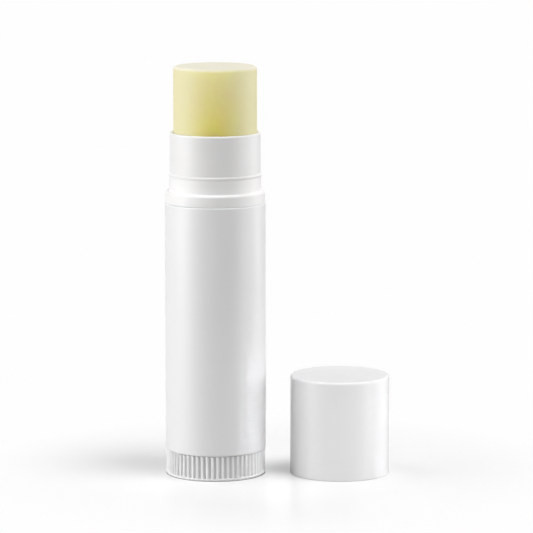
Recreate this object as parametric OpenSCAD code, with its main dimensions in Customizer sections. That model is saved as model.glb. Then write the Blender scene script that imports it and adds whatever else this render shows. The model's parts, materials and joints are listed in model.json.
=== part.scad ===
// Twist up lip balm stick, standing open with its balm raised and its cap beside it.
// Millimetres, +Z up. The origin is the centre of the dial's underside.

/* [Balm] */
// Diameter of the balm, which every tube round it follows
balm_d = 14.1; // [12:0.1:18]
// How far the balm sinks under the lip when it is wound right down
balm_sunk = 0.85; // [0.3:0.05:2]
// Radius of the balm's rounded top edge
balm_edge = 0.55; // [0.3:0.05:1.5]

/* [Neck and inner tube] */
// Height of the neck from the shoulder to its lip
neck_h = 9.9; // [9:0.1:11]
// Height of the collar band under the shoulder
collar_h = 1.95; // [1.5:0.05:3]
// Wall of the neck above the snap bead
neck_wall = 0.55; // [0.5:0.01:0.58]
// Step out of the neck below the snap bead
neck_step = 0.065; // [0.05:0.005:0.09]
// How far the snap bead stands out of the lower neck
bead_out = 0.07; // [0.05:0.005:0.12]
// Height of the snap bead
bead_h = 0.65; // [0.5:0.05:0.7]
// Height of the snap bead's middle over the shoulder
bead_up = 2.75; // [2:0.05:4]
// Rounding of the neck's lip
lip_round = 0.38; // [0.2:0.02:0.42]
// Rounding of the shoulder's outer corner
shoulder_round = 0.42; // [0.2:0.02:0.45]
// Fillet where the neck rises from the shoulder
root_fillet = 0.18; // [0.1:0.02:0.2]
// Wall of the inner tube inside the shell
tube_wall = 0.67; // [0.65:0.01:0.8]
// Step that widens the inner tube's foot for the spindle's drum
seat_step = 0.17; // [0.1:0.01:0.2]

/* [Guide keys] */
// Number of keys down the bore that stop the carrier turning
key_count = 4; // [2:1:6]
// Width of a key
key_w = 0.8; // [0.6:0.05:1.2]
// How far a key stands into the bore
key_in = 0.4; // [0.3:0.02:0.45]

/* [Outer shell] */
// Wall of the outer shell
shell_wall = 0.68; // [0.5:0.01:1]
// Length of the outer shell
shell_len = 42.3; // [42:0.1:44]
// Rounding of the shell's two outer edges
shell_edge = 0.12; // [0.05:0.01:0.2]
// Height of the ring that locks the inner tube in the shell
lock_h = 0.6; // [0.4:0.05:1]
// How far the lock ring stands out
lock_out = 0.1; // [0.05:0.01:0.15]

/* [Dial] */
// Height of the ribbed dial
dial_h = 4.1; // [4:0.1:6]
// How far the ribs' crests stay inside the shell's outside
dial_inset = 0.1; // [0:0.01:0.3]
// Number of ribs round the dial
rib_count = 60; // [40:1:72]
// Width of a rib
rib_w = 0.56; // [0.3:0.02:0.6]
// Height of the plain lip under the ribs
dial_lip_h = 0.35; // [0.3:0.05:0.8]
// How far the plain lip stands out past the ribs
dial_lip_out = 0.03; // [0.01:0.01:0.1]
// Rounding of the dial's bottom edge
dial_edge = 0.15; // [0.05:0.01:0.25]
// Thickness of the dial's floor
dial_floor = 1.6; // [1.4:0.05:2]
// Depth of the ring recess in the dial's underside
recess_h = 0.4; // [0.2:0.05:0.7]
// Wall of the ring that plugs into the spindle's drum
plug_wall = 0.8; // [0.6:0.05:1.2]
// Height of the plug ring over the dial's floor
plug_h = 5; // [3:0.1:6]

/* [Spindle] */
// Outside diameter of the screw
screw_d = 5; // [4:0.1:6]
// How far the screw's tip stays under the balm's foot when the carrier is highest
tip_under = 2; // [1:0.1:3]
// Chamfer at the tip of the screw
tip_chamfer = 0.6; // [0.2:0.05:1]
// Fillet at the foot of the screw
screw_fillet = 0.8; // [0.4:0.05:1.2]
// How far the drum reaches up into the tube over the dial
drum_up = 5.0; // [4.8:0.1:5.4]
// Wall of the drum
drum_wall = 1.25; // [1:0.05:1.5]
// Thickness of the drum's top plate
drum_top = 1; // [0.8:0.05:1.4]
// Height of the snap ring round the drum
snap_h = 0.5; // [0.4:0.05:0.7]
// How far the snap ring stands out of the drum
snap_out = 0.12; // [0.08:0.01:0.15]
// Depth of the snap ring's middle under the drum's top
snap_down = 1.35; // [1:0.05:2]
// Number of lugs that lock the dial to the drum
lug_count = 4; // [2:1:8]
// Width of a lug
lug_w = 1.2; // [0.8:0.1:2]
// How far a lug stands out
lug_out = 0.5; // [0.3:0.05:0.7]

/* [Carrier] */
// Height of the carrier's skirt under its plate
skirt_h = 7; // [6:0.1:7.2]
// Wall of the skirt and of the cup rim
skirt_wall = 0.75; // [0.7:0.01:1]
// Thickness of the carrier's plate
plate_h = 1; // [0.8:0.05:1.4]
// Height of the cup rim round the balm's foot
cup_h = 1.6; // [1:0.1:2]
// Height of the nut under the plate
nut_h = 5; // [4:0.1:6]
// Wall of the nut
nut_wall = 1.15; // [0.8:0.05:1.6]
// Thickness of the webs from nut to skirt
web_w = 0.7; // [0.5:0.05:1]
// Height of the webs under the plate
web_h = 3; // [2:0.1:4]

/* [Cap] */
// Outside length of the cap
cap_len = 16.9; // [16:0.1:20]
// Wall of the cap at its mouth
cap_wall = 0.635; // [0.5:0.005:0.7]
// How much the cap's radius narrows towards its top
cap_taper = 0.04; // [0:0.01:0.1]
// Thickness of the cap's top
cap_top = 1.2; // [0.8:0.05:1.6]
// Rounding of the cap's top edge
cap_edge = 0.4; // [0.3:0.05:0.8]
// Rounding of the cap's mouth outside
cap_mouth_edge = 0.12; // [0.05:0.01:0.2]
// Step in of the cap's bore above the neck
cap_step = 0.25; // [0.15:0.01:0.4]
// Rounding in the top corner of the cap's bore
cap_inner_edge = 0.5; // [0.3:0.05:1]
// Gap between the stick and the cap standing beside it
cap_beside = 4.2; // [2:0.05:20]

/* [Travel] */
// Rise of the carrier for one turn of the dial
screw_lead = 4; // [3:0.5:5]
// Turns from the balm's lowest place to its stored place
turns_below = 3; // [2:0.5:4]
// Length of the keys that still holds the carrier at its highest
key_hold = 0.8; // [0.6:0.1:2]

/* [Fits] */
// Radial gap round the balm in the bore
balm_gap = 0.08; // [0.05:0.01:0.1]
// Radial gap of parts that run or slide in each other
run_gap = 0.08; // [0.05:0.01:0.1]
// Gap of parts pressed together
press_gap = 0.02; // [0.01:0.01:0.04]
// Gap between the dial's top and the shell
dial_gap = 0.12; // [0.08:0.01:0.2]
// Radial gap between the neck and the cap
cap_gap = 0.05; // [0.04:0.01:0.1]
// Gap along the axis where a part must not touch
end_gap = 0.4; // [0.3:0.05:0.6]

/* [Hidden] */
$fn = 96;
// Faces round a rib and overrun of cuts past a face
rib_fn = 24;
over = 0.5;
// How far a rounding cut runs past its corner, as a share of its radius
corner_share = 0.5;

// Radii, from the balm outwards
balm_r = balm_d / 2;
bore_r = balm_r + balm_gap;
neck_up_r = bore_r + neck_wall;
neck_low_r = neck_up_r + neck_step;
bead_r = neck_low_r + bead_out;
tube_r = bore_r + tube_wall;
shell_in_r = tube_r + press_gap;
body_r = shell_in_r + shell_wall;
collar_r = body_r;
key_r = bore_r - key_in;
cap_in_r = neck_low_r + cap_gap;
cap_r = cap_in_r + cap_wall;

// Heights of the tube, from the floor upwards
shell_z = dial_h + dial_gap;
shell_top_z = shell_z + shell_len;
shoulder_z = shell_top_z + collar_h;
bead_z = shoulder_z + bead_up;
lip_z = shoulder_z + neck_h;
tube_z = shell_z + dial_gap;
lock_z = shell_z + shell_len / 2;

// Drum of the spindle and its seat in the tube
drum_top_z = dial_h + drum_up;
seat_top_z = drum_top_z + run_gap;
seat_r = bore_r + seat_step;
drum_r = seat_r - run_gap;
drum_in_r = drum_r - drum_wall;
snap_z = drum_top_z - snap_down;
plug_r = drum_in_r - press_gap;

// Dial
crest_r = body_r - dial_inset;
dial_lip_r = crest_r + dial_lip_out;
rib_centre_r = crest_r - rib_w / 2;
dial_in_r = drum_r + press_gap;
recess_out_r = dial_in_r;
recess_in_r = plug_r - plug_wall;

// Keys end low enough for the stored balm to hide the marks that they leave in it
stored_rise = turns_below * screw_lead;
key_z = seat_top_z + end_gap;
key_top_z = lip_z - stored_rise - run_gap;

// Carrier and balm at their lowest place
low_skirt_z = drum_top_z + end_gap;
low_plate_top_z = low_skirt_z + skirt_h + plate_h;
full_rise = key_top_z - key_hold - low_skirt_z;

// Screw
screw_r = screw_d / 2;
nut_bore_r = screw_r + run_gap;
nut_r = nut_bore_r + nut_wall;
screw_top_z = low_plate_top_z + full_rise - tip_under;
core_h = screw_top_z + end_gap - low_plate_top_z;

// Carrier and balm as stored
skirt_z = low_skirt_z + stored_rise;
plate_z = skirt_z + skirt_h;
plate_top_z = plate_z + plate_h;
balm_top_z = lip_z - balm_sunk + stored_rise;
flute_top_z = key_top_z + run_gap + stored_rise;
slide_r = bore_r - run_gap;
skirt_in_r = slide_r - skirt_wall;
foot_r = skirt_in_r - press_gap;
notch_w = key_w + 2 * run_gap;
notch_r = key_r - run_gap;

// Cap standing beside the stick
cap_x = body_r + cap_beside + cap_r;
cap_top_r = cap_r - cap_taper;
cap_deep = cap_len - cap_top;
cap_bore_h = neck_h + end_gap / 2;
cap_upper_r = cap_in_r - cap_step;
cap_groove_r = bead_r + cap_gap / 2;
cap_groove_h = bead_h + 2 * cap_gap;

// Half profile of a straight ring between two radii and two heights
module band(r_in, r_out, z_low, z_high) {
    translate([r_in, z_low])
        square([r_out - r_in, z_high - z_low]);
}

// What rounding takes off a corner whose point is at r and z
// side is 1 where the solid lies inside r, and up is 1 where it lies below z
module corner_cut(r, z, round_r, side = 1, up = 1) {
    translate([r - side * round_r, z - up * round_r])
        mirror([side < 0 ? 1 : 0, 0])
            mirror([0, up < 0 ? 1 : 0])
                difference() {
                    square(round_r + corner_share * round_r);
                    circle(round_r);
                }
}

// What a fillet adds in an inner corner that opens outwards and upwards
module fillet_fill(r, z, round_r) {
    difference() {
        translate([r - corner_share * round_r, z - corner_share * round_r])
            square(round_r + corner_share * round_r);
        translate([r + round_r, z + round_r])
            circle(round_r);
    }
}

// Half profile of a snap ring with sloped flanks
module snap_profile(r, z, height, out) {
    translate([r, z])
        polygon([
            [-out, -height / 2],
            [0, -height / 2],
            [out, -height / 2 + out],
            [out, height / 2 - out],
            [0, height / 2],
            [-out, height / 2]
        ]);
}

// Straight bars round the axis from one radius to another, standing at z
module bars(count, width, r_in, r_out, z_low, z_high) {
    for (i = [0 : count - 1])
        rotate([0, 0, (i + 0.5) * 360 / count])
            translate([r_in, -width / 2, z_low])
                cube([r_out - r_in, width, z_high - z_low]);
}

// Smooth outer tube of the stick
module body_shell() {
    color([0.95, 0.95, 0.96])
        rotate_extrude()
            difference() {
                band(shell_in_r, body_r, shell_z, shell_top_z);
                corner_cut(body_r, shell_top_z, shell_edge);
                corner_cut(body_r, shell_z, shell_edge, 1, -1);
                snap_profile(shell_in_r, lock_z, lock_h + 2 * press_gap, lock_out);
            }
}

// Half profile of the inner tube with its collar, neck and snap bead
module sleeve_profile() {
    difference() {
        union() {
            band(bore_r, tube_r, tube_z, lip_z - neck_h);
            band(bore_r, collar_r, shell_top_z, shoulder_z);
            band(bore_r, neck_low_r, shell_top_z, bead_z);
            band(bore_r, neck_up_r, shell_top_z, lip_z);
            translate([bead_r - bead_h / 2, bead_z])
                circle(bead_h / 2);
            fillet_fill(neck_low_r, shoulder_z, root_fillet);
            snap_profile(tube_r, lock_z, lock_h, lock_out);
        }
        corner_cut(neck_up_r, lip_z, lip_round);
        corner_cut(collar_r, shoulder_z, shoulder_round);
        corner_cut(collar_r, shell_top_z, shell_edge, 1, -1);
        band(bore_r - over, seat_r, tube_z - over, seat_top_z);
        snap_profile(seat_r, snap_z, snap_h + 2 * run_gap, snap_out);
    }
}

// Inner tube: the neck that shows, and the bore with its keys
module neck_sleeve() {
    color([0.96, 0.96, 0.95])
        union() {
            rotate_extrude()
                sleeve_profile();
            bars(key_count, key_w, key_r, bore_r + tube_wall / 2, key_z, key_top_z);
        }
}

// Ribbed grip under the tube, open on top and plugged onto the spindle
module dial() {
    color([0.93, 0.93, 0.94])
        difference() {
            union() {
                rotate_extrude()
                    difference() {
                        union() {
                            band(0, rib_centre_r, 0, dial_h);
                            band(0, dial_lip_r, 0, dial_lip_h);
                        }
                        corner_cut(dial_lip_r, 0, dial_edge, 1, -1);
                    }
                for (i = [0 : rib_count - 1])
                    rotate([0, 0, (i + 0.5) * 360 / rib_count])
                        translate([rib_centre_r, 0, dial_lip_h / 2])
                            cylinder(r = rib_w / 2, h = dial_h - dial_lip_h / 2, $fn = rib_fn);
            }
            translate([0, 0, dial_floor])
                cylinder(r = dial_in_r, h = dial_h);
            rotate_extrude()
                band(recess_in_r, recess_out_r, -over, recess_h);
        }
    color([0.93, 0.93, 0.94])
        difference() {
            union() {
                translate([0, 0, dial_floor - recess_h])
                    cylinder(r = plug_r, h = plug_h + recess_h);
                bars(lug_count, lug_w, recess_in_r + plug_wall / 2, plug_r + lug_out,
                    dial_floor - recess_h, dial_floor + plug_h);
            }
            translate([0, 0, dial_floor])
                cylinder(r = recess_in_r, h = plug_h + over);
        }
}

// Screw on its drum, which turns in the foot of the inner tube
module spindle() {
    color([0.9, 0.9, 0.9])
        difference() {
            rotate_extrude() {
                difference() {
                    union() {
                        band(0, drum_r, dial_floor + press_gap, drum_top_z);
                        snap_profile(drum_r, snap_z, snap_h, snap_out);
                    }
                    band(0, drum_in_r, 0, drum_top_z - drum_top);
                }
                polygon([
                    [0, drum_top_z - drum_top / 2],
                    [screw_r, drum_top_z - drum_top / 2],
                    [screw_r, screw_top_z - tip_chamfer],
                    [screw_r - tip_chamfer, screw_top_z],
                    [0, screw_top_z]
                ]);
                fillet_fill(screw_r, drum_top_z, screw_fillet);
            }
            bars(lug_count, lug_w + 2 * press_gap, recess_in_r, plug_r + lug_out + press_gap,
                0, dial_floor + plug_h + press_gap);
        }
}

// Carrier: a cup for the balm's foot over a notched skirt, with the nut in the middle
module elevator() {
    color([0.92, 0.92, 0.9])
        difference() {
            union() {
                rotate_extrude() {
                    band(skirt_in_r, slide_r, skirt_z, plate_top_z + cup_h);
                    band(nut_bore_r, slide_r - skirt_wall / 2, plate_z, plate_top_z);
                    band(nut_bore_r, nut_r, plate_z - nut_h, plate_top_z);
                }
                rotate([0, 0, 180 / key_count])
                    bars(key_count, web_w, nut_r - nut_wall / 2, skirt_in_r + skirt_wall / 2,
                        plate_z - web_h, plate_z + plate_h / 2);
            }
            bars(key_count, notch_w, notch_r, slide_r + over, skirt_z - over, plate_top_z + cup_h + over);
        }
}

// Solid balm with the core left by the screw and the marks left by the keys
module balm() {
    color([0.95, 0.9, 0.66])
        difference() {
            rotate_extrude()
                difference() {
                    union() {
                        band(0, foot_r, plate_top_z, balm_top_z - balm_edge);
                        band(0, balm_r, plate_top_z + cup_h, balm_top_z);
                    }
                    corner_cut(balm_r, balm_top_z, balm_edge);
                }
            translate([0, 0, plate_top_z - over])
                cylinder(r = nut_bore_r, h = core_h + over);
            bars(key_count, notch_w, notch_r, balm_r + over, plate_top_z, flute_top_z);
        }
}

// Cap taken off and stood on its mouth beside the stick
module cap() {
    color([0.96, 0.96, 0.97])
        translate([cap_x, 0, 0])
            difference() {
                rotate_extrude() {
                    difference() {
                        polygon([
                            [0, 0],
                            [cap_r, 0],
                            [cap_top_r, cap_len - cap_edge],
                            [0, cap_len - cap_edge]
                        ]);
                        corner_cut(cap_r, 0, cap_mouth_edge, 1, -1);
                    }
                    difference() {
                        band(0, cap_top_r, cap_len - 2 * cap_edge, cap_len);
                        corner_cut(cap_top_r, cap_len, cap_edge);
                    }
                }
                rotate_extrude() {
                    band(0, cap_in_r, -over, cap_bore_h);
                    band(0, cap_groove_r, bead_up - cap_groove_h / 2, bead_up + cap_groove_h / 2);
                    polygon([
                        [0, cap_bore_h - over],
                        [cap_in_r, cap_bore_h],
                        [cap_upper_r, cap_bore_h + cap_step],
                        [0, cap_bore_h + cap_step]
                    ]);
                    difference() {
                        band(0, cap_upper_r, cap_bore_h, cap_deep);
                        corner_cut(cap_upper_r, cap_deep, cap_inner_edge);
                    }
                }
            }
}

body_shell();
neck_sleeve();
dial();
spindle();
elevator();
balm();
cap();
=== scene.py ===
import json
import math
import bmesh
import bpy
from mathutils import Euler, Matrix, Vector


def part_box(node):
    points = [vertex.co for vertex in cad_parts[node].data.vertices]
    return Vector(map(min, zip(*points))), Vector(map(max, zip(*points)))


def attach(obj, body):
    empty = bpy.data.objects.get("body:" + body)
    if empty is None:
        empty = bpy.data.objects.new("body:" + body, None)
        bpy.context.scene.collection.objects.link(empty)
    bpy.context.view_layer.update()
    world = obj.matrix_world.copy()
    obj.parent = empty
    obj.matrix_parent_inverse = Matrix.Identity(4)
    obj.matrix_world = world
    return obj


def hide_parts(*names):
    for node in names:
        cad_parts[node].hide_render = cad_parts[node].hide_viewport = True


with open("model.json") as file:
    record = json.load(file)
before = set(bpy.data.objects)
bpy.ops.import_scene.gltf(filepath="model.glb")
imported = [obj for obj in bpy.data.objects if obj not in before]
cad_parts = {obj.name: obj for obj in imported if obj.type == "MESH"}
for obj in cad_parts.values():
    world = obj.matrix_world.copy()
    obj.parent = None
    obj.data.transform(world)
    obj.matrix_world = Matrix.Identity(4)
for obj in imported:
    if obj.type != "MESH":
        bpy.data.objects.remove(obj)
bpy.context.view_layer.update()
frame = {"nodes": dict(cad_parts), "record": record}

mm = 0.001  # the sizes in the dictionaries are millimetres, but for those of the lamps
mounts = {mount["name"]: mount for mount in frame["record"]["mounts"]}
print("frame loaded:", ", ".join(sorted(frame["nodes"])))


def reach(node):
    # radius and lowest and highest z of a round node, in mm
    low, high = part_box(node)
    return (high.x - low.x) / 2 / mm, low.z / mm, high.z / mm


# Node building

class Wire:
    # an output socket that can be used in sums
    def __init__(self, bench, socket):
        self.bench = bench
        self.socket = socket

    def sum(self, operation, first, second):
        return self.bench.add("ShaderNodeMath", {"operation": operation}, {0: first, 1: second}).out()

    def __add__(self, other):
        return self.sum("ADD", self, other)

    def __radd__(self, other):
        return self.sum("ADD", other, self)

    def __sub__(self, other):
        return self.sum("SUBTRACT", self, other)

    def __rsub__(self, other):
        return self.sum("SUBTRACT", other, self)

    def __mul__(self, other):
        return self.sum("MULTIPLY", self, other)

    def __rmul__(self, other):
        return self.sum("MULTIPLY", other, self)

    def __truediv__(self, other):
        return self.sum("DIVIDE", self, other)


class Placed:
    # a node that has been added, and its outputs
    def __init__(self, bench, node):
        self.bench = bench
        self.node = node

    def out(self, name=0):
        return Wire(self.bench, self.node.outputs[name])


class Bench:
    # adds nodes to one tree: type, settings first, then the values or wires of its sockets
    def __init__(self, tree):
        self.tree = tree

    def add(self, kind, settings=None, sockets=None):
        node = self.tree.nodes.new(kind)
        for name, value in (settings or {}).items():
            setattr(node, name, value)
        for name, value in (sockets or {}).items():
            if isinstance(value, Wire):
                self.tree.links.new(value.socket, node.inputs[name])
            else:
                node.inputs[name].default_value = value
        return Placed(self, node)


def shapeTree(name, sizes):
    # an empty Geometry Nodes tree with its own inputs for sizes and a material
    tree = bpy.data.node_groups.new(name, "GeometryNodeTree")
    tree.interface.new_socket("Geometry", in_out="OUTPUT", socket_type="NodeSocketGeometry")
    tree.interface.new_socket("Geometry", in_out="INPUT", socket_type="NodeSocketGeometry")
    for label, kind in sizes.items():
        tree.interface.new_socket(label, in_out="INPUT", socket_type="NodeSocket" + kind)
    tree.interface.new_socket("Material", in_out="INPUT", socket_type="NodeSocketMaterial")
    bench = Bench(tree)
    return bench, bench.add("NodeGroupInput")


def endTree(bench, given, shape):
    realized = bench.add("GeometryNodeRealizeInstances", None, {0: shape}).out()
    coated = bench.add("GeometryNodeSetMaterial", None, {
        "Geometry": realized, "Material": given.out("Material")}).out()
    bench.add("NodeGroupOutput", None, {0: coated})
    return bench.tree


def makeTurnedTree():
    # turns the outline's points, which lie at (radius, 0, height), about the Z axis
    bench, given = shapeTree("turnedOutline", {
        "Points": "Int", "Segments": "Int", "Turns": "Float", "Rise": "Float", "Centre": "Vector",
        "Merge": "Float"})
    segments = given.out("Segments")
    grid = bench.add("GeometryNodeMeshGrid", None, {
        "Vertices X": given.out("Points"), "Vertices Y": segments + 1}).out()
    index = bench.add("GeometryNodeInputIndex").out()
    row = bench.add("ShaderNodeMath", {"operation": "FLOOR"}, {0: (index + 0.5) / (segments + 1)}).out()
    share = (index - row * (segments + 1)) / segments
    place = bench.add("GeometryNodeInputPosition").out()
    point = bench.add("GeometryNodeSampleIndex", {"data_type": "FLOAT_VECTOR"}, {
        "Geometry": given.out("Geometry"), "Value": place, "Index": row}).out()
    parts = bench.add("ShaderNodeSeparateXYZ", None, {0: point})
    angle = share * given.out("Turns") * (2 * math.pi)
    cosine = bench.add("ShaderNodeMath", {"operation": "COSINE"}, {0: angle}).out()
    sine = bench.add("ShaderNodeMath", {"operation": "SINE"}, {0: angle}).out()
    height = parts.out("Z") + share * given.out("Turns") * given.out("Rise")
    turned = bench.add("ShaderNodeCombineXYZ", None, {
        "X": parts.out("X") * cosine, "Y": parts.out("X") * sine, "Z": height}).out()
    skin = bench.add("GeometryNodeSetPosition", None, {"Geometry": grid, "Position": turned}).out()
    closed = bench.add("GeometryNodeMergeByDistance", None, {
        "Geometry": skin, "Distance": given.out("Merge")}).out()
    moved = bench.add("GeometryNodeTransform", None, {
        "Geometry": closed, "Translation": given.out("Centre")}).out()
    return endTree(bench, given, moved)


def makeRingTree():
    # repeats the piece that it is given round the Z axis
    bench, given = shapeTree("ringOfCopies", {"Copies": "Int", "Start": "Float", "Merge": "Float"})
    spots = bench.add("GeometryNodePoints", None, {"Count": given.out("Copies")}).out()
    index = bench.add("GeometryNodeInputIndex").out()
    angle = index * (2 * math.pi) / given.out("Copies") + given.out("Start")
    euler = bench.add("ShaderNodeCombineXYZ", None, {"Z": angle}).out()
    turn = bench.add("FunctionNodeEulerToRotation", None, {0: euler}).out()
    ring = bench.add("GeometryNodeInstanceOnPoints", None, {
        "Points": spots, "Instance": given.out("Geometry"), "Rotation": turn}).out()
    solid = bench.add("GeometryNodeRealizeInstances", None, {0: ring}).out()
    closed = bench.add("GeometryNodeMergeByDistance", None, {
        "Geometry": solid, "Distance": given.out("Merge")}).out()
    return endTree(bench, given, closed)


turnedTree = makeTurnedTree()
ringTree = makeRingTree()
mergeGap = 0.002 * mm
supportRoom = 0.95  # a support point is left out where it would come this near to the next corner


def grow(mesh, name, tree, values, material):
    # runs a tree on a mesh and returns the result as a plain mesh
    holder = bpy.data.objects.new(name, mesh)
    bpy.context.scene.collection.objects.link(holder)
    modifier = holder.modifiers.new("shape", "NODES")
    modifier.node_group = tree
    settings = dict(values, Material=material)
    for item in tree.interface.items_tree:
        if item.in_out == "INPUT" and item.name in settings:
            modifier[item.identifier] = settings[item.name]
    bpy.context.view_layer.update()
    shaped = holder.evaluated_get(bpy.context.evaluated_depsgraph_get())
    result = bpy.data.meshes.new_from_object(shaped)
    bpy.data.objects.remove(holder)
    return result


def outline(corners, steps=7, hold=0.04, closed=False):
    # corners are (radius, height, rounding, extra)
    # a rounded one becomes an arc with a support point at each end
    points = []
    count = len(corners)
    for i, corner in enumerate(corners):
        at = Vector(corner[:2])
        rounding = corner[2] if len(corner) > 2 else 0
        extra = corner[3] if len(corner) > 3 else 0
        atEnd = not closed and i in (0, count - 1)
        if rounding <= 0 or atEnd:
            points.append((at.x, at.y, extra))
            continue
        toBack = Vector(corners[i - 1][:2]) - at
        toNext = Vector(corners[(i + 1) % count][:2]) - at
        backRoom, nextRoom = toBack.length, toNext.length
        toBack.normalize()
        toNext.normalize()
        half = toBack.angle(toNext) / 2
        reachOut = rounding / math.tan(half)
        centre = at + (toBack + toNext).normalized() * rounding / math.sin(half)
        start, end = at + toBack * reachOut, at + toNext * reachOut
        if reachOut + hold < backRoom * supportRoom:
            points.append((*(start + toBack * hold), extra))
        first = math.atan2(*(start - centre).yx)
        sweep = math.remainder(math.atan2(*(end - centre).yx) - first, 2 * math.pi)
        for k in range(steps + 1):
            turn = first + sweep * k / steps
            points.append((centre.x + rounding * math.cos(turn), centre.y + rounding * math.sin(turn), extra))
        if reachOut + hold < nextRoom * supportRoom:
            points.append((*(end + toNext * hold), extra))
    if closed:
        points.append(points[0])
    return points


def finishSkin(mesh, name, sharpDegrees=38):
    # closes the skin, turns its faces outwards and shades it smooth between its real edges
    shell = bmesh.new()
    shell.from_mesh(mesh)
    bmesh.ops.remove_doubles(shell, verts=shell.verts, dist=mergeGap)
    bmesh.ops.dissolve_degenerate(shell, edges=shell.edges, dist=mergeGap / 4)
    rims = [edge for edge in shell.edges if edge.is_boundary]
    if rims:
        bmesh.ops.holes_fill(shell, edges=rims, sides=0)
    bmesh.ops.recalc_face_normals(shell, faces=shell.faces)
    shell.to_mesh(mesh)
    shell.free()
    mesh.polygons.foreach_set("use_smooth", [True] * len(mesh.polygons))
    mesh.set_sharp_from_angle(angle=math.radians(sharpDegrees))
    mesh.name = name
    mesh.update()


def turned(name, corners, material, segments=192, closed=True, centre=(0, 0, 0), turns=1, rise=0, hold=0.04):
    points = outline(corners, closed=closed, hold=hold)
    profile = bpy.data.meshes.new(name + "Outline")
    profile.from_pydata([(r * mm, 0, z * mm) for r, z, _ in points], [], [])
    return grow(profile, name, turnedTree, {
        "Points": len(points), "Segments": segments, "Turns": float(turns), "Rise": rise * mm,
        "Centre": tuple(value * mm for value in centre), "Merge": mergeGap}, material)


def ringOf(name, mesh, copies, material, start=0.0):
    return grow(mesh, name, ringTree, {"Copies": copies, "Start": start, "Merge": mergeGap}, material)


def bar(low, high, bevel, material):
    # a rounded bar between two corners, in mm
    block = bmesh.new()
    bmesh.ops.create_cube(block, size=1)
    for vertex in block.verts:
        vertex.co = Vector([(low[k] + (vertex.co[k] + 0.5) * (high[k] - low[k])) * mm for k in range(3)])
    bmesh.ops.bevel(block, geom=block.edges[:], offset=bevel * mm, segments=2, affect="EDGES", profile=0.5)
    mesh = bpy.data.meshes.new("bar")
    block.to_mesh(mesh)
    block.free()
    mesh.materials.append(material)
    return mesh


def sector(rows, columns, material):
    # rows are (radius, height, share of the columns' offset), columns are (angle, offset)
    skin = bmesh.new()
    grid = [[skin.verts.new(((r + share * out) * math.cos(angle) * mm,
                             (r + share * out) * math.sin(angle) * mm, z * mm))
             for angle, out in columns] for r, z, share in rows]
    for low, high in zip(grid, grid[1:]):
        for a, b, c, d in zip(low, low[1:], high[1:], high):
            skin.faces.new((a, b, c, d))
    bmesh.ops.remove_doubles(skin, verts=skin.verts, dist=mergeGap)
    mesh = bpy.data.meshes.new("sector")
    skin.to_mesh(mesh)
    skin.free()
    mesh.materials.append(material)
    return mesh


def piece(name, meshes, material, body, nodes):
    # joins the meshes of one piece, hangs it on the body that it rides on, and hides the CAD nodes that it
    # replaces
    joined = bmesh.new()
    for mesh in meshes:
        joined.from_mesh(mesh)
    whole = bpy.data.meshes.new(name)
    joined.to_mesh(whole)
    joined.free()
    finishSkin(whole, name)
    whole.materials.clear()
    whole.materials.append(material)
    shown = bpy.data.objects.new(name, whole)
    bpy.context.scene.collection.objects.link(shown)
    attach(shown, body)
    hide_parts(*nodes)
    print("made", name, len(whole.polygons), "faces")


# Finishes

plasticLook = {
    "shell": {"colour": (0.86, 0.86, 0.868), "roughness": 0.37, "peel": 0.10, "grain": 0.25},
    "neck": {"colour": (0.855, 0.850, 0.843), "roughness": 0.46, "peel": 0.08, "grain": 0.2,
             "thinDown": 6.9, "thickDown": 7.2, "whiter": 1.07},
    "dial": {"colour": (0.92, 0.92, 0.925), "roughness": 0.30, "peel": 0.06, "grain": 0.2,
             "valleyIn": 0.3, "crestIn": 0.08, "darker": 0.78},
    "cap": {"colour": (0.86, 0.86, 0.865), "roughness": 0.24, "peel": 0.10, "grain": 0.12},
    "natural": {"colour": (0.80, 0.80, 0.77), "roughness": 0.5, "peel": 0.15, "grain": 0.5},
}
moulding = {
    "flow": (160, 3, 0.5), "peel": (420, 1, 0.5), "grain": (5200, 2, 0.6),  # scale, detail, roughness
    "flowStretch": 0.25, "mottle": 0.015, "flowGloss": 0.08, "grainGloss": 0.06, "grainHeight": 0.02,
    "bump": 0.25, "bumpDepth": 0.02, "ior": 1.49,
}


def newMaterial(name):
    material = bpy.data.materials.new(name)
    material.use_nodes = True
    material.node_tree.nodes.clear()
    return material, Bench(material.node_tree)


def noise(bench, place, scale, detail, rough):
    return bench.add("ShaderNodeTexNoise", None, {
        "Vector": place, "Scale": scale, "Detail": detail, "Roughness": rough}).out()


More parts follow.
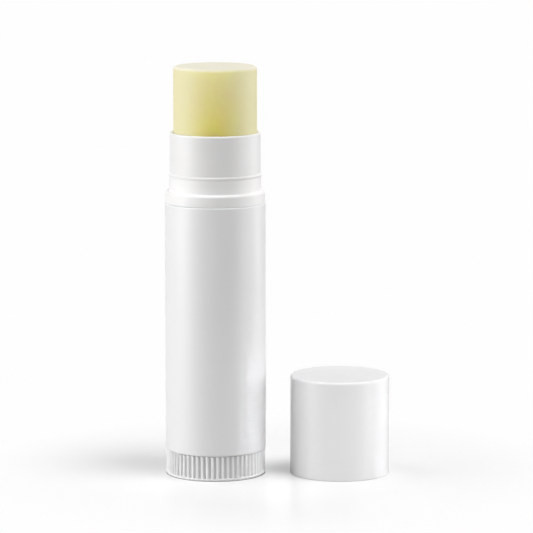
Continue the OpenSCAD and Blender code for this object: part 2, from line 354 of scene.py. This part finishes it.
def plastic(name, look, centre=(0, 0, 0), valley=None, solid=None):
    # moulded plastic: a faint flow in the colour, a soft peel and a fine grain in the gloss
    material, bench = newMaterial(name)
    here = bench.add("ShaderNodeTexCoord").out("Object")
    place = bench.add("ShaderNodeMapping", None, {
        "Vector": here, "Location": tuple(-c * mm for c in centre)}).out()
    flow = bench.add("ShaderNodeMapping", None, {
        "Vector": place, "Scale": (1, 1, moulding["flowStretch"])}).out()
    flowNoise = noise(bench, flow, *moulding["flow"])
    peelNoise = noise(bench, place, *moulding["peel"])
    grainNoise = noise(bench, place, *moulding["grain"])
    tint = bench.add("ShaderNodeMix", {"data_type": "RGBA"}, {
        "Factor": flowNoise,
        6: (*(c * (1 - moulding["mottle"]) for c in look["colour"]), 1),
        7: (*(min(1, c * (1 + moulding["mottle"])) for c in look["colour"]), 1)}).out(2)
    if valley:
        # painted shade: the colour is a little dimmer down in the valleys between the ribs
        deepR, crestR, darker = valley
        parts = bench.add("ShaderNodeSeparateXYZ", None, {0: place})
        level = bench.add("ShaderNodeCombineXYZ", None, {"X": parts.out("X"), "Y": parts.out("Y")}).out()
        outward = bench.add("ShaderNodeVectorMath", {"operation": "LENGTH"}, {0: level}).out("Value")
        shade = bench.add("ShaderNodeMapRange", {"interpolation_type": "SMOOTHSTEP"}, {
            "Value": outward, "From Min": deepR * mm, "From Max": crestR * mm,
            "To Min": darker, "To Max": 1.0}).out()
        tint = bench.add("ShaderNodeVectorMath", {"operation": "SCALE"}, {0: tint, "Scale": shade}).out()
    if solid:
        # painted light: the colour is lighter below the bead and in the collar, standing in for brighter light
        # on that part of the neck
        plainZ, paintedLightZ, whiter = solid
        height = bench.add("ShaderNodeSeparateXYZ", None, {0: place}).out("Z")
        shade = bench.add("ShaderNodeMapRange", {"interpolation_type": "SMOOTHSTEP"}, {
            "Value": height, "From Min": paintedLightZ * mm, "From Max": plainZ * mm,
            "To Min": whiter, "To Max": 1.0}).out()
        tint = bench.add("ShaderNodeVectorMath", {"operation": "SCALE"}, {0: tint, "Scale": shade}).out()
    gloss = (look["roughness"] + (flowNoise - 0.5) * moulding["flowGloss"]
             + (grainNoise - 0.5) * moulding["grainGloss"])
    relief = peelNoise * look["peel"] + grainNoise * (moulding["grainHeight"] * look["grain"])
    bump = bench.add("ShaderNodeBump", None, {
        "Height": relief, "Strength": moulding["bump"], "Distance": moulding["bumpDepth"] * mm}).out()
    surface = bench.add("ShaderNodeBsdfPrincipled", None, {
        "Base Color": tint, "Roughness": gloss, "Normal": bump, "IOR": moulding["ior"]}).out()
    bench.add("ShaderNodeOutputMaterial", None, {"Surface": surface})
    return material


waxLook = {
    "pale": (0.92, 0.82, 0.52), "deep": (0.99, 0.80, 0.12),
    "film": (0.82, 0.77, 0.48), "frost": (0.80, 0.765, 0.63),
    "fade": 14, "fadeVary": 0.12, "frostFrom": 0.012, "frostTo": 0.04,  # the last two are shares of the fade
    "cloud": (260, 3, 0.5), "fine": (1700, 3, 0.6),  # scale, detail, roughness
    "roughness": 0.45, "roughVary": 0.08, "relief": 0.1, "bump": 0.2, "bumpDepth": 0.03,
    "ior": 1.44, "gloss": 0.12, "slant": 0.91, "filmed": 0.95,
    "scatter": (0.6, 0.75, 0.2), "depth": 7.0,
}


def wax(name, look, top):
    # pale yellow wax that light soaks into, with painted light in its colour: paler at the top and deeper down
    # the stick, with a paler layer mixed in by the facing angle as a painted sheen at a slant, and painted
    # lighter and less yellow over its top
    material, bench = newMaterial(name)
    here = bench.add("ShaderNodeTexCoord").out("Object")
    cloud = noise(bench, here, *look["cloud"])
    fine = noise(bench, here, *look["fine"])
    height = bench.add("ShaderNodeSeparateXYZ", None, {0: here}).out("Z")
    # painted light: the colour deepens with the distance down from the top, standing in for less light
    # reaching down into the wax
    down = (top * mm - height) / (look["fade"] * mm)
    depth = bench.add("ShaderNodeMath", {"operation": "ADD", "use_clamp": True}, {
        0: down, 1: (cloud - 0.5) * look["fadeVary"]}).out()
    tint = bench.add("ShaderNodeMix", {"data_type": "RGBA"}, {
        "Factor": depth, 6: (*look["pale"], 1), 7: (*look["deep"], 1)}).out(2)
    # painted light: the layer is paler and less yellow over the top, standing in for the light that falls on
    # it from above
    rim = bench.add("ShaderNodeMapRange", {"interpolation_type": "SMOOTHSTEP"}, {
        "Value": down, "From Min": look["frostFrom"], "From Max": look["frostTo"]}).out()
    paintedSheenTint = bench.add("ShaderNodeMix", {"data_type": "RGBA"}, {
        "Factor": rim, 6: (*look["frost"], 1), 7: (*look["film"], 1)}).out(2)
    bump = bench.add("ShaderNodeBump", None, {
        "Height": cloud * look["relief"] + fine * look["relief"], "Strength": look["bump"],
        "Distance": look["bumpDepth"] * mm}).out()
    rough = look["roughness"] + (cloud - 0.5) * look["roughVary"]
    inside = bench.add("ShaderNodeBsdfPrincipled", {"subsurface_method": "RANDOM_WALK"}, {
        "Base Color": tint, "Roughness": rough, "Normal": bump,
        "IOR": look["ior"], "Specular IOR Level": look["gloss"],
        "Subsurface Weight": 1.0, "Subsurface Radius": look["scatter"],
        "Subsurface Scale": look["depth"] * mm}).out()
    film = bench.add("ShaderNodeBsdfPrincipled", None, {
        "Base Color": paintedSheenTint, "Roughness": rough, "Normal": bump,
        "IOR": look["ior"], "Specular IOR Level": look["gloss"]}).out()
    # painted sheen: the facing angle mixes the paler layer in towards the edges, standing in for sheen at a
    # slant
    slant = bench.add("ShaderNodeLayerWeight", None, {"Blend": look["slant"]}).out("Facing")
    surface = bench.add("ShaderNodeMixShader", None, {0: slant * look["filmed"], 1: inside, 2: film}).out()
    bench.add("ShaderNodeOutputMaterial", None, {"Surface": surface})
    return material


shellR, shellLow, shellHigh = reach("body_shell")
collarR, tubeLow, lipZ = reach("neck_sleeve")
balmR, balmLow, balmTop = reach("balm")
spindleLow, screwTop = reach("spindle")[1:]
dialR = reach("dial")[0]
neckR = mounts["neck"]["dims"]["r_mm"]
capBoreR = mounts["cap_bore"]["dims"]["r_mm"]
capBoreH = mounts["cap_bore"]["dims"]["length_mm"]
capX = mounts["cap_bore"]["pos_m"][0] / mm
capR, _, capLen = reach("cap")

shellWhite = plastic("shellWhite", plasticLook["shell"])
neckLook, dialLook = plasticLook["neck"], plasticLook["dial"]
# painted light: the neck is coloured lighter below the bead and in the collar
neckWhite = plastic("neckWhite", neckLook, solid=(
    lipZ - neckLook["thinDown"], lipZ - neckLook["thickDown"], neckLook["whiter"]))
# painted shade: the dial's colour dims down in the valleys between the ribs
dialWhite = plastic("dialWhite", dialLook, valley=(
    dialR - dialLook["valleyIn"], dialR - dialLook["crestIn"], dialLook["darker"]))
capWhite = plastic("capWhite", plasticLook["cap"], (capX, 0, 0))
naturalPlastic = plastic("naturalPlastic", plasticLook["natural"])
balmWax = wax("balmWax", waxLook, balmTop)
print("finishes made")


# Outer shell

shell = {"wall": 0.68, "edge": 0.30, "innerEdge": 0.06}
shellInR = shellR - shell["wall"]
shellMesh = turned("shell", [
    (shellInR, shellLow, shell["innerEdge"]),
    (shellR, shellLow, shell["edge"]),
    (shellR, shellHigh, shell["edge"]),
    (shellInR, shellHigh, shell["innerEdge"]),
], shellWhite, segments=224)
piece("bodyShell", [shellMesh], shellWhite, "tube", ["body_shell"])


# Inner tube with its collar and neck

neck = {
    "height": 9.9, "collarEdge": 0.02, "collarIn": 0.09, "shoulderRound": 0.36, "rootFillet": 0.18,
    "step": 0.065, "lipRound": 0.3, "lipInner": 0.1, "wall": 0.55, "tubeWall": 0.67,
    "beadOut": 0.07, "beadHeight": 0.65, "beadUp": 2.75, "beadBlend": 0.12, "beadFlat": 0.25, "beadRound": 0.3,
    "seatStep": 0.17, "seatTop": 9.18, "seatEdge": 0.05, "footEdge": 0.1,
    "keys": 4, "keyWide": 0.8, "keyIn": 0.4, "keyRoot": 0.2, "keyLow": 9.58, "keyDown": 12.08, "keyEdge": 0.08,
}
boreR = neckR - neck["wall"]
tubeR = boreR + neck["tubeWall"]
seatR = boreR + neck["seatStep"]
neckLowR = neckR + neck["step"]
shoulderZ = lipZ - neck["height"]
beadZ = shoulderZ + neck["beadUp"]
beadHalf = neck["beadHeight"] / 2
neckMesh = turned("neck", [
    (seatR, tubeLow, neck["seatEdge"]),
    (tubeR, tubeLow, neck["footEdge"]),
    (tubeR, shellHigh, 0),
    (collarR - neck["collarIn"], shellHigh, neck["collarEdge"]),
    (collarR - neck["collarIn"], shoulderZ, neck["shoulderRound"]),
    (neckLowR, shoulderZ, neck["rootFillet"]),
    (neckLowR, beadZ - beadHalf, neck["beadBlend"]),
    (neckLowR + neck["beadOut"], beadZ - beadHalf * neck["beadFlat"], neck["beadRound"]),
    (neckLowR + neck["beadOut"], beadZ + beadHalf * neck["beadFlat"], neck["beadRound"]),
    (neckR, beadZ + beadHalf, neck["beadBlend"]),
    (neckR, lipZ, neck["lipRound"]),
    (boreR, lipZ, neck["lipInner"]),
    (boreR, neck["seatTop"], 0),
    (seatR, neck["seatTop"], 0),
], neckWhite, segments=224)
keyBar = bar((boreR - neck["keyIn"], -neck["keyWide"] / 2, neck["keyLow"]),
             (boreR + neck["keyRoot"], neck["keyWide"] / 2, lipZ - neck["keyDown"]),
             neck["keyEdge"], neckWhite)
keyMesh = ringOf("keys", keyBar, neck["keys"], neckWhite, math.pi / neck["keys"])
piece("neckSleeve", [neckMesh, keyMesh], neckWhite, "tube", ["neck_sleeve"])


# Dial: one rib's sector, repeated round the axis

dial = {
    "height": 4.16, "ribs": 60, "ribWide": 0.58, "ribOut": 0.27, "ribSteps": 10, "crestIn": 0.03,
    "lipHigh": 0.35, "lipEdge": 0.2, "lipTop": 0.06, "valleyRise": 0.06, "valleyRound": 0.05, "topEdge": 0.1,
    "footEdge": 0.08, "recess": 0.4, "recessEdge": 0.05, "runGap": 0.08, "cupGap": 0.02, "cupRim": 0.06,
    "floor": 1.6, "plugTop": 6.6, "plugR": 5.95, "plugWall": 0.8, "plugEdge": 0.1,
}
drumR = seatR - dial["runGap"]
dialIn = drumR + dial["cupGap"]
valleyR = dialR - dial["crestIn"] - dial["ribOut"]


def ribRows(look):
    plugIn = look["plugR"] - look["plugWall"]
    return outline([
        (0, 0),
        (plugIn, 0, look["footEdge"]),
        (plugIn, look["recess"], look["recessEdge"]),
        (dialIn, look["recess"], look["recessEdge"]),
        (dialIn, 0, look["footEdge"]),
        (dialR, 0, look["lipEdge"]),
        (dialR, look["lipHigh"], look["lipTop"]),
        (valleyR, look["lipHigh"] + look["valleyRise"], look["valleyRound"], 1),
        (valleyR, look["height"], look["topEdge"], 1),
        (dialIn, look["height"], look["cupRim"]),
        (dialIn, look["floor"], look["plugEdge"]),
        (look["plugR"], look["floor"], look["plugEdge"]),
        (look["plugR"], look["plugTop"], look["plugEdge"]),
        (plugIn, look["plugTop"], look["plugEdge"]),
        (plugIn, look["floor"], look["plugEdge"]),
        (0, look["floor"]),
    ], steps=4, hold=0.05)


def ribColumns(look):
    # one rib with a round crest, and half a valley on each side
    halfPitch = math.pi / look["ribs"]
    ribHalf = look["ribWide"] / 2 / valleyR
    valley = (halfPitch + ribHalf) / 2
    crest = []
    for k in range(look["ribSteps"] + 1):
        across = 2 * k / look["ribSteps"] - 1
        crest.append((ribHalf * across, look["ribOut"] * max(0, math.cos(across * math.pi / 2))))
    return [(-halfPitch, 0), (-valley, 0), *crest, (valley, 0), (halfPitch, 0)]


rib = sector(ribRows(dial), ribColumns(dial), dialWhite)
dialMesh = ringOf("dialRing", rib, dial["ribs"], dialWhite, math.pi / dial["ribs"])
piece("dialGrip", [dialMesh], dialWhite, "knob", ["dial"])


# Spindle: drum, screw core and a left-hand thread

spindle = {
    "drumTop": 9.1, "drumWall": 1.25, "topPlate": 1.0, "plateRound": 0.2, "innerEdge": 0.05, "outerEdge": 0.1,
    "snapHigh": 0.5, "snapDown": 1.35, "snapOut": 0.12, "snapBlend": 0.04, "snapRound": 0.06, "topEdge": 0.15,
    "coreR": 1.95, "screwR": 2.5, "fillet": 0.8, "tip": 0.6, "lead": 4.0, "starts": 2,
    "crest": 0.45, "root": 1.1, "sunk": 0.3, "crestEdge": 0.08, "segmentsPerTurn": 40,
}
drumIn = drumR - spindle["drumWall"]
snapZ = spindle["drumTop"] - spindle["snapDown"]
drumMesh = turned("drum", [
    (0, spindle["drumTop"] - spindle["topPlate"]),
    (drumIn, spindle["drumTop"] - spindle["topPlate"], spindle["plateRound"]),
    (drumIn, spindleLow, spindle["innerEdge"]),
    (drumR, spindleLow, spindle["outerEdge"]),
    (drumR, snapZ - spindle["snapHigh"] / 2, spindle["snapBlend"]),
    (drumR + spindle["snapOut"], snapZ, spindle["snapRound"]),
    (drumR, snapZ + spindle["snapHigh"] / 2, spindle["snapBlend"]),
    (drumR, spindle["drumTop"], spindle["topEdge"]),
    (spindle["coreR"], spindle["drumTop"], spindle["fillet"]),
    (spindle["coreR"], screwTop, spindle["tip"]),
    (0, screwTop),
], naturalPlastic, segments=96, closed=False)
threadLow = spindle["drumTop"] + spindle["fillet"]
threadTurns = (screwTop - spindle["tip"] - spindle["root"] - threadLow) / spindle["lead"]
threadMesh = turned("thread", [
    (spindle["coreR"] - spindle["sunk"], threadLow),
    (spindle["coreR"], threadLow),
    (spindle["screwR"], threadLow + (spindle["root"] - spindle["crest"]) / 2, spindle["crestEdge"]),
    (spindle["screwR"], threadLow + (spindle["root"] + spindle["crest"]) / 2, spindle["crestEdge"]),
    (spindle["coreR"], threadLow + spindle["root"]),
    (spindle["coreR"] - spindle["sunk"], threadLow + spindle["root"]),
], naturalPlastic, segments=int(spindle["segmentsPerTurn"] * threadTurns), turns=-threadTurns,
    rise=-spindle["lead"], hold=0.02)
threads = ringOf("threads", threadMesh, spindle["starts"], naturalPlastic)
piece("screwSpindle", [drumMesh, threads], naturalPlastic, "knob", ["spindle"])


# Balm

balm = {
    "edge": 0.55, "dish": 0.15, "dishR": 6.0, "dishRound": 3.0, "footR": 6.25, "cup": 1.6, "coreR": 2.58,
    "coreTop": 63.89, "flutes": 4, "fluteWide": 0.96, "fluteDeep": 0.4, "fluteTop": 58.37, "fluteEnd": 0.04,
    "fluteEdge": 0.06, "landColumns": 24,
    "fluteFlank": ((1, 0), (0, 0.15), (-0.6, 0.85), (-1.5, 1)),  # edges out from the flute, share of its depth
}


def fluteColumns(look):
    # half a land, one flute that a guide key has left, and half a land
    quarter = math.pi / look["flutes"]
    half, edge = look["fluteWide"] / 2 / balmR, look["fluteEdge"] / balmR
    deep = -look["fluteDeep"]
    side = [(half + edge * out, deep * share) for out, share in look["fluteFlank"]] + [(0, deep)]
    columns = look["landColumns"]
    land = [(quarter + (half + edge - quarter) * k / columns, 0) for k in range(columns)]
    left = [(-angle, out) for angle, out in land + side[:-1]]
    return left + [(angle, out) for angle, out in reversed(land + side)]


balmRows = outline([
    (0, balm["coreTop"]),
    (balm["coreR"], balm["coreTop"]),
    (balm["coreR"], balmLow),
    (balm["footR"], balmLow),
    (balm["footR"], balmLow + balm["cup"]),
    (balmR, balmLow + balm["cup"], 0, 1),
    (balmR, balm["fluteTop"] - balm["fluteEnd"], 0, 1),
    (balmR, balm["fluteTop"] - balm["fluteEnd"] * 0.3, 0, 0.7),
    (balmR, balm["fluteTop"]),
    (balmR, balmTop, balm["edge"]),
    (balm["dishR"], balmTop, balm["dishRound"]),
    (0, balmTop - balm["dish"]),
], hold=0.1)
flute = sector(balmRows, fluteColumns(balm), balmWax)
balmMesh = ringOf("balmRing", flute, balm["flutes"], balmWax, math.pi / balm["flutes"])
piece("balmStick", [balmMesh], balmWax, "carriage", ["balm"])


# Cap, standing on its mouth

cap = {
    "taper": 0.04, "top": 1.2, "edge": 0.4, "mouthEdge": 0.12, "step": 0.25, "innerEdge": 0.5,
    "grooveGap": 0.025, "grooveHigh": 0.75, "grooveUp": 2.75, "mouthInner": 0.06,
}
capGrooveR = neckLowR + neck["beadOut"] + cap["grooveGap"]
grooveHalf = cap["grooveHigh"] / 2
capMesh = turned("cap", [
    (0, capLen),
    (capR - cap["taper"], capLen, cap["edge"]),
    (capR, 0, cap["mouthEdge"]),
    (capBoreR, 0, cap["mouthInner"]),
    (capBoreR, cap["grooveUp"] - grooveHalf),
    (capGrooveR, cap["grooveUp"] - grooveHalf),
    (capGrooveR, cap["grooveUp"] + grooveHalf),
    (capBoreR, cap["grooveUp"] + grooveHalf),
    (capBoreR, capBoreH),
    (capBoreR - cap["step"], capBoreH + cap["step"]),
    (capBoreR - cap["step"], capLen - cap["top"], cap["innerEdge"]),
    (0, capLen - cap["top"]),
], capWhite, segments=224, closed=False, centre=(capX, 0, 0))
piece("pullOffCap", [capMesh], capWhite, "cap", ["cap"])


# Carrier: the CAD node keeps its shape and gets the natural plastic

carrier = frame["nodes"]["elevator"]
if not carrier.material_slots:
    carrier.data.materials.append(naturalPlastic)
for slot in carrier.material_slots:
    slot.material = naturalPlastic


# Floor and light: the floor fades and lifts for the camera alone

studio = {
    "floorHalf": 1200, "under": 0.01, "bounce": 0.52, "shown": 0.80, "contact": 0.15, "floorLift": 0.15,
    "footFrom": 8.4, "footTo": 8.52, "whiteFrom": 24, "whiteTo": 55, "white": 0.99, "fill": 0.042,
    "grain": (900, 2, 0.5), "roughness": 0.22, "roughVary": 0.05, "ior": 1.14, "aim": (10.5, 0, 30),
}
softboxes = {  # degrees to the right of the camera and up from the floor, then metres, then brightness
    "leftBox": {"azimuth": -79, "elevation": 3, "distance": 0.60,
                "wide": 0.36, "high": 0.10, "level": 0.51},
    "highLeftBox": {"azimuth": -100, "elevation": 60, "distance": 0.60,
                    "wide": 0.25, "high": 0.25, "level": 0.24},
    "topBox": {"azimuth": 0, "elevation": 75, "distance": 0.60,
               "wide": 0.50, "high": 0.40, "level": 0.20},
    "keyBox": {"azimuth": 58, "elevation": 70, "distance": 0.60,
               "wide": 0.24, "high": 0.24, "level": 0.52},
    "frontBox": {"azimuth": -54, "elevation": 3, "distance": 0.60,
                 "wide": 0.30, "high": 0.10, "level": 0.17},
    "rightBox": {"azimuth": 72, "elevation": 3, "distance": 0.60,
                 "wide": 0.30, "high": 0.10, "level": 0.22},
    "backRightBox": {"azimuth": 110, "elevation": 3, "distance": 0.60,
                     "wide": 0.24, "high": 0.10, "level": 0.29},
    "capBox": {"azimuth": 34, "elevation": 6, "distance": 0.20,
               "wide": 0.03, "high": 0.03, "level": 0.0012, "aim": (23.5, 0, 9), "spread": 9},
    "capMidBox": {"azimuth": 52, "elevation": 6, "distance": 0.20,
                  "wide": 0.03, "high": 0.03, "level": 0.0009, "aim": (24, 0, 9), "spread": 9},
    "footBox": {"azimuth": 50, "elevation": 4, "distance": 0.10,
                "wide": 0.004, "high": 0.02, "level": 0.0006, "aim": (0.5, 0, 8), "spread": 3},
}


def addSoftbox(name, look):
    lamp = bpy.data.lights.new(name, "AREA")
    lamp.shape = "RECTANGLE"
    lamp.size = look["wide"]
    lamp.size_y = look["high"]
    lamp.energy = look["level"] * math.pi ** 2 * look["distance"] ** 2
    if "spread" in look:
        lamp.spread = math.radians(look["spread"])
    azimuth, elevation = math.radians(look["azimuth"]), math.radians(look["elevation"])
    away = Vector((math.sin(azimuth) * math.cos(elevation), -math.cos(azimuth) * math.cos(elevation),
                   math.sin(elevation)))
    holder = bpy.data.objects.new(name, lamp)
    holder.location = Vector(look.get("aim", studio["aim"])) * mm + away * look["distance"]
    holder.rotation_euler = away.to_track_quat("Z", "Y").to_euler()
    bpy.context.scene.collection.objects.link(holder)


def makeFloor(look):
    # pale and faintly glossy, with a painted contact shadow where the dial meets it, and fading to white
    # further out
    # the camera sees a lighter floor than the one that bounces light onto the stick
    material, bench = newMaterial("paleFloor")
    here = bench.add("ShaderNodeTexCoord").out("Object")
    centred = bench.add("ShaderNodeMapping", None, {
        "Vector": here, "Location": (-look["aim"][0] * mm, 0, 0)}).out()
    away = bench.add("ShaderNodeVectorMath", {"operation": "LENGTH"}, {0: centred}).out("Value")
    fade = bench.add("ShaderNodeMapRange", {"interpolation_type": "SMOOTHSTEP"}, {
        "Value": away, "From Min": look["whiteFrom"] * mm, "From Max": look["whiteTo"] * mm}).out()
    grain = noise(bench, here, *look["grain"])
    camera = bench.add("ShaderNodeLightPath").out("Is Camera Ray")
    outward = bench.add("ShaderNodeVectorMath", {"operation": "LENGTH"}, {0: here}).out("Value")
    # painted contact shadow: under the dial's foot the camera sees a dark grey floor, and the lift is taken
    # off there
    clear = bench.add("ShaderNodeMapRange", {"interpolation_type": "SMOOTHSTEP"}, {
        "Value": outward, "From Min": look["footFrom"] * mm, "From Max": look["footTo"] * mm}).out()
    shown = clear * (look["shown"] - look["contact"]) + look["contact"]
    pale = camera * (shown - look["bounce"]) + look["bounce"]
    grey = bench.add("ShaderNodeCombineColor", None, {0: pale, 1: pale, 2: pale}).out()
    lit = bench.add("ShaderNodeBsdfPrincipled", None, {
        "Base Color": grey, "Roughness": look["roughness"] + (grain - 0.5) * look["roughVary"],
        "IOR": look["ior"]}).out()
    lift = bench.add("ShaderNodeEmission", None, {
        "Color": (1, 1, 1, 1), "Strength": camera * clear * look["floorLift"]}).out()
    near = bench.add("ShaderNodeAddShader", None, {0: lit, 1: lift}).out()
    far = bench.add("ShaderNodeEmission", None, {"Color": (1, 1, 1, 1), "Strength": look["white"]}).out()
    surface = bench.add("ShaderNodeMixShader", None, {0: fade * camera, 1: near, 2: far}).out()
    bench.add("ShaderNodeOutputMaterial", None, {"Surface": surface})
    half = look["floorHalf"] * mm
    mesh = bpy.data.meshes.new("floor")
    under = -look["under"] * mm
    mesh.from_pydata([(-half, -half, under), (half, -half, under), (half, half, under), (-half, half, under)],
                     [], [(0, 1, 2, 3)])
    mesh.materials.append(material)
    floor = bpy.data.objects.new("floor", mesh)
    bpy.context.scene.collection.objects.link(floor)


def makeWorld(look):
    world = bpy.data.worlds.new("studioWorld")
    world.use_nodes = True
    world.node_tree.nodes.clear()
    bench = Bench(world.node_tree)
    rays = bench.add("ShaderNodeLightPath")
    direct = bench.add("ShaderNodeMath", {"operation": "MAXIMUM"}, {
        0: rays.out("Is Camera Ray"), 1: rays.out("Is Glossy Ray")}).out()
    seen = bench.add("ShaderNodeMath", {"operation": "MAXIMUM"}, {
        0: direct, 1: rays.out("Is Transmission Ray")}).out()
    strength = look["fill"] + seen * (look["white"] - look["fill"])
    sky = bench.add("ShaderNodeBackground", None, {"Color": (1, 1, 1, 1), "Strength": strength}).out()
    bench.add("ShaderNodeOutputWorld", None, {"Surface": sky})
    bpy.context.scene.world = world


makeFloor(studio)
makeWorld(studio)
for boxName, boxLook in softboxes.items():
    addSoftbox(boxName, boxLook)

view = {"place": (8.65, -609.6, 127.4), "pitchDown": 8.58, "lens": 245.8, "sensor": 36}
cameraData = bpy.data.cameras.new("camera")
cameraData.lens = view["lens"]
cameraData.sensor_width = view["sensor"]
camera = bpy.data.objects.new("camera", cameraData)
camera.location = Vector(view["place"]) * mm
camera.rotation_euler = Euler((math.radians(90 - view["pitchDown"]), 0, 0))
bpy.context.scene.collection.objects.link(camera)
bpy.context.scene.camera = camera
bpy.context.scene.view_settings.view_transform = "Standard"
print("studio set")
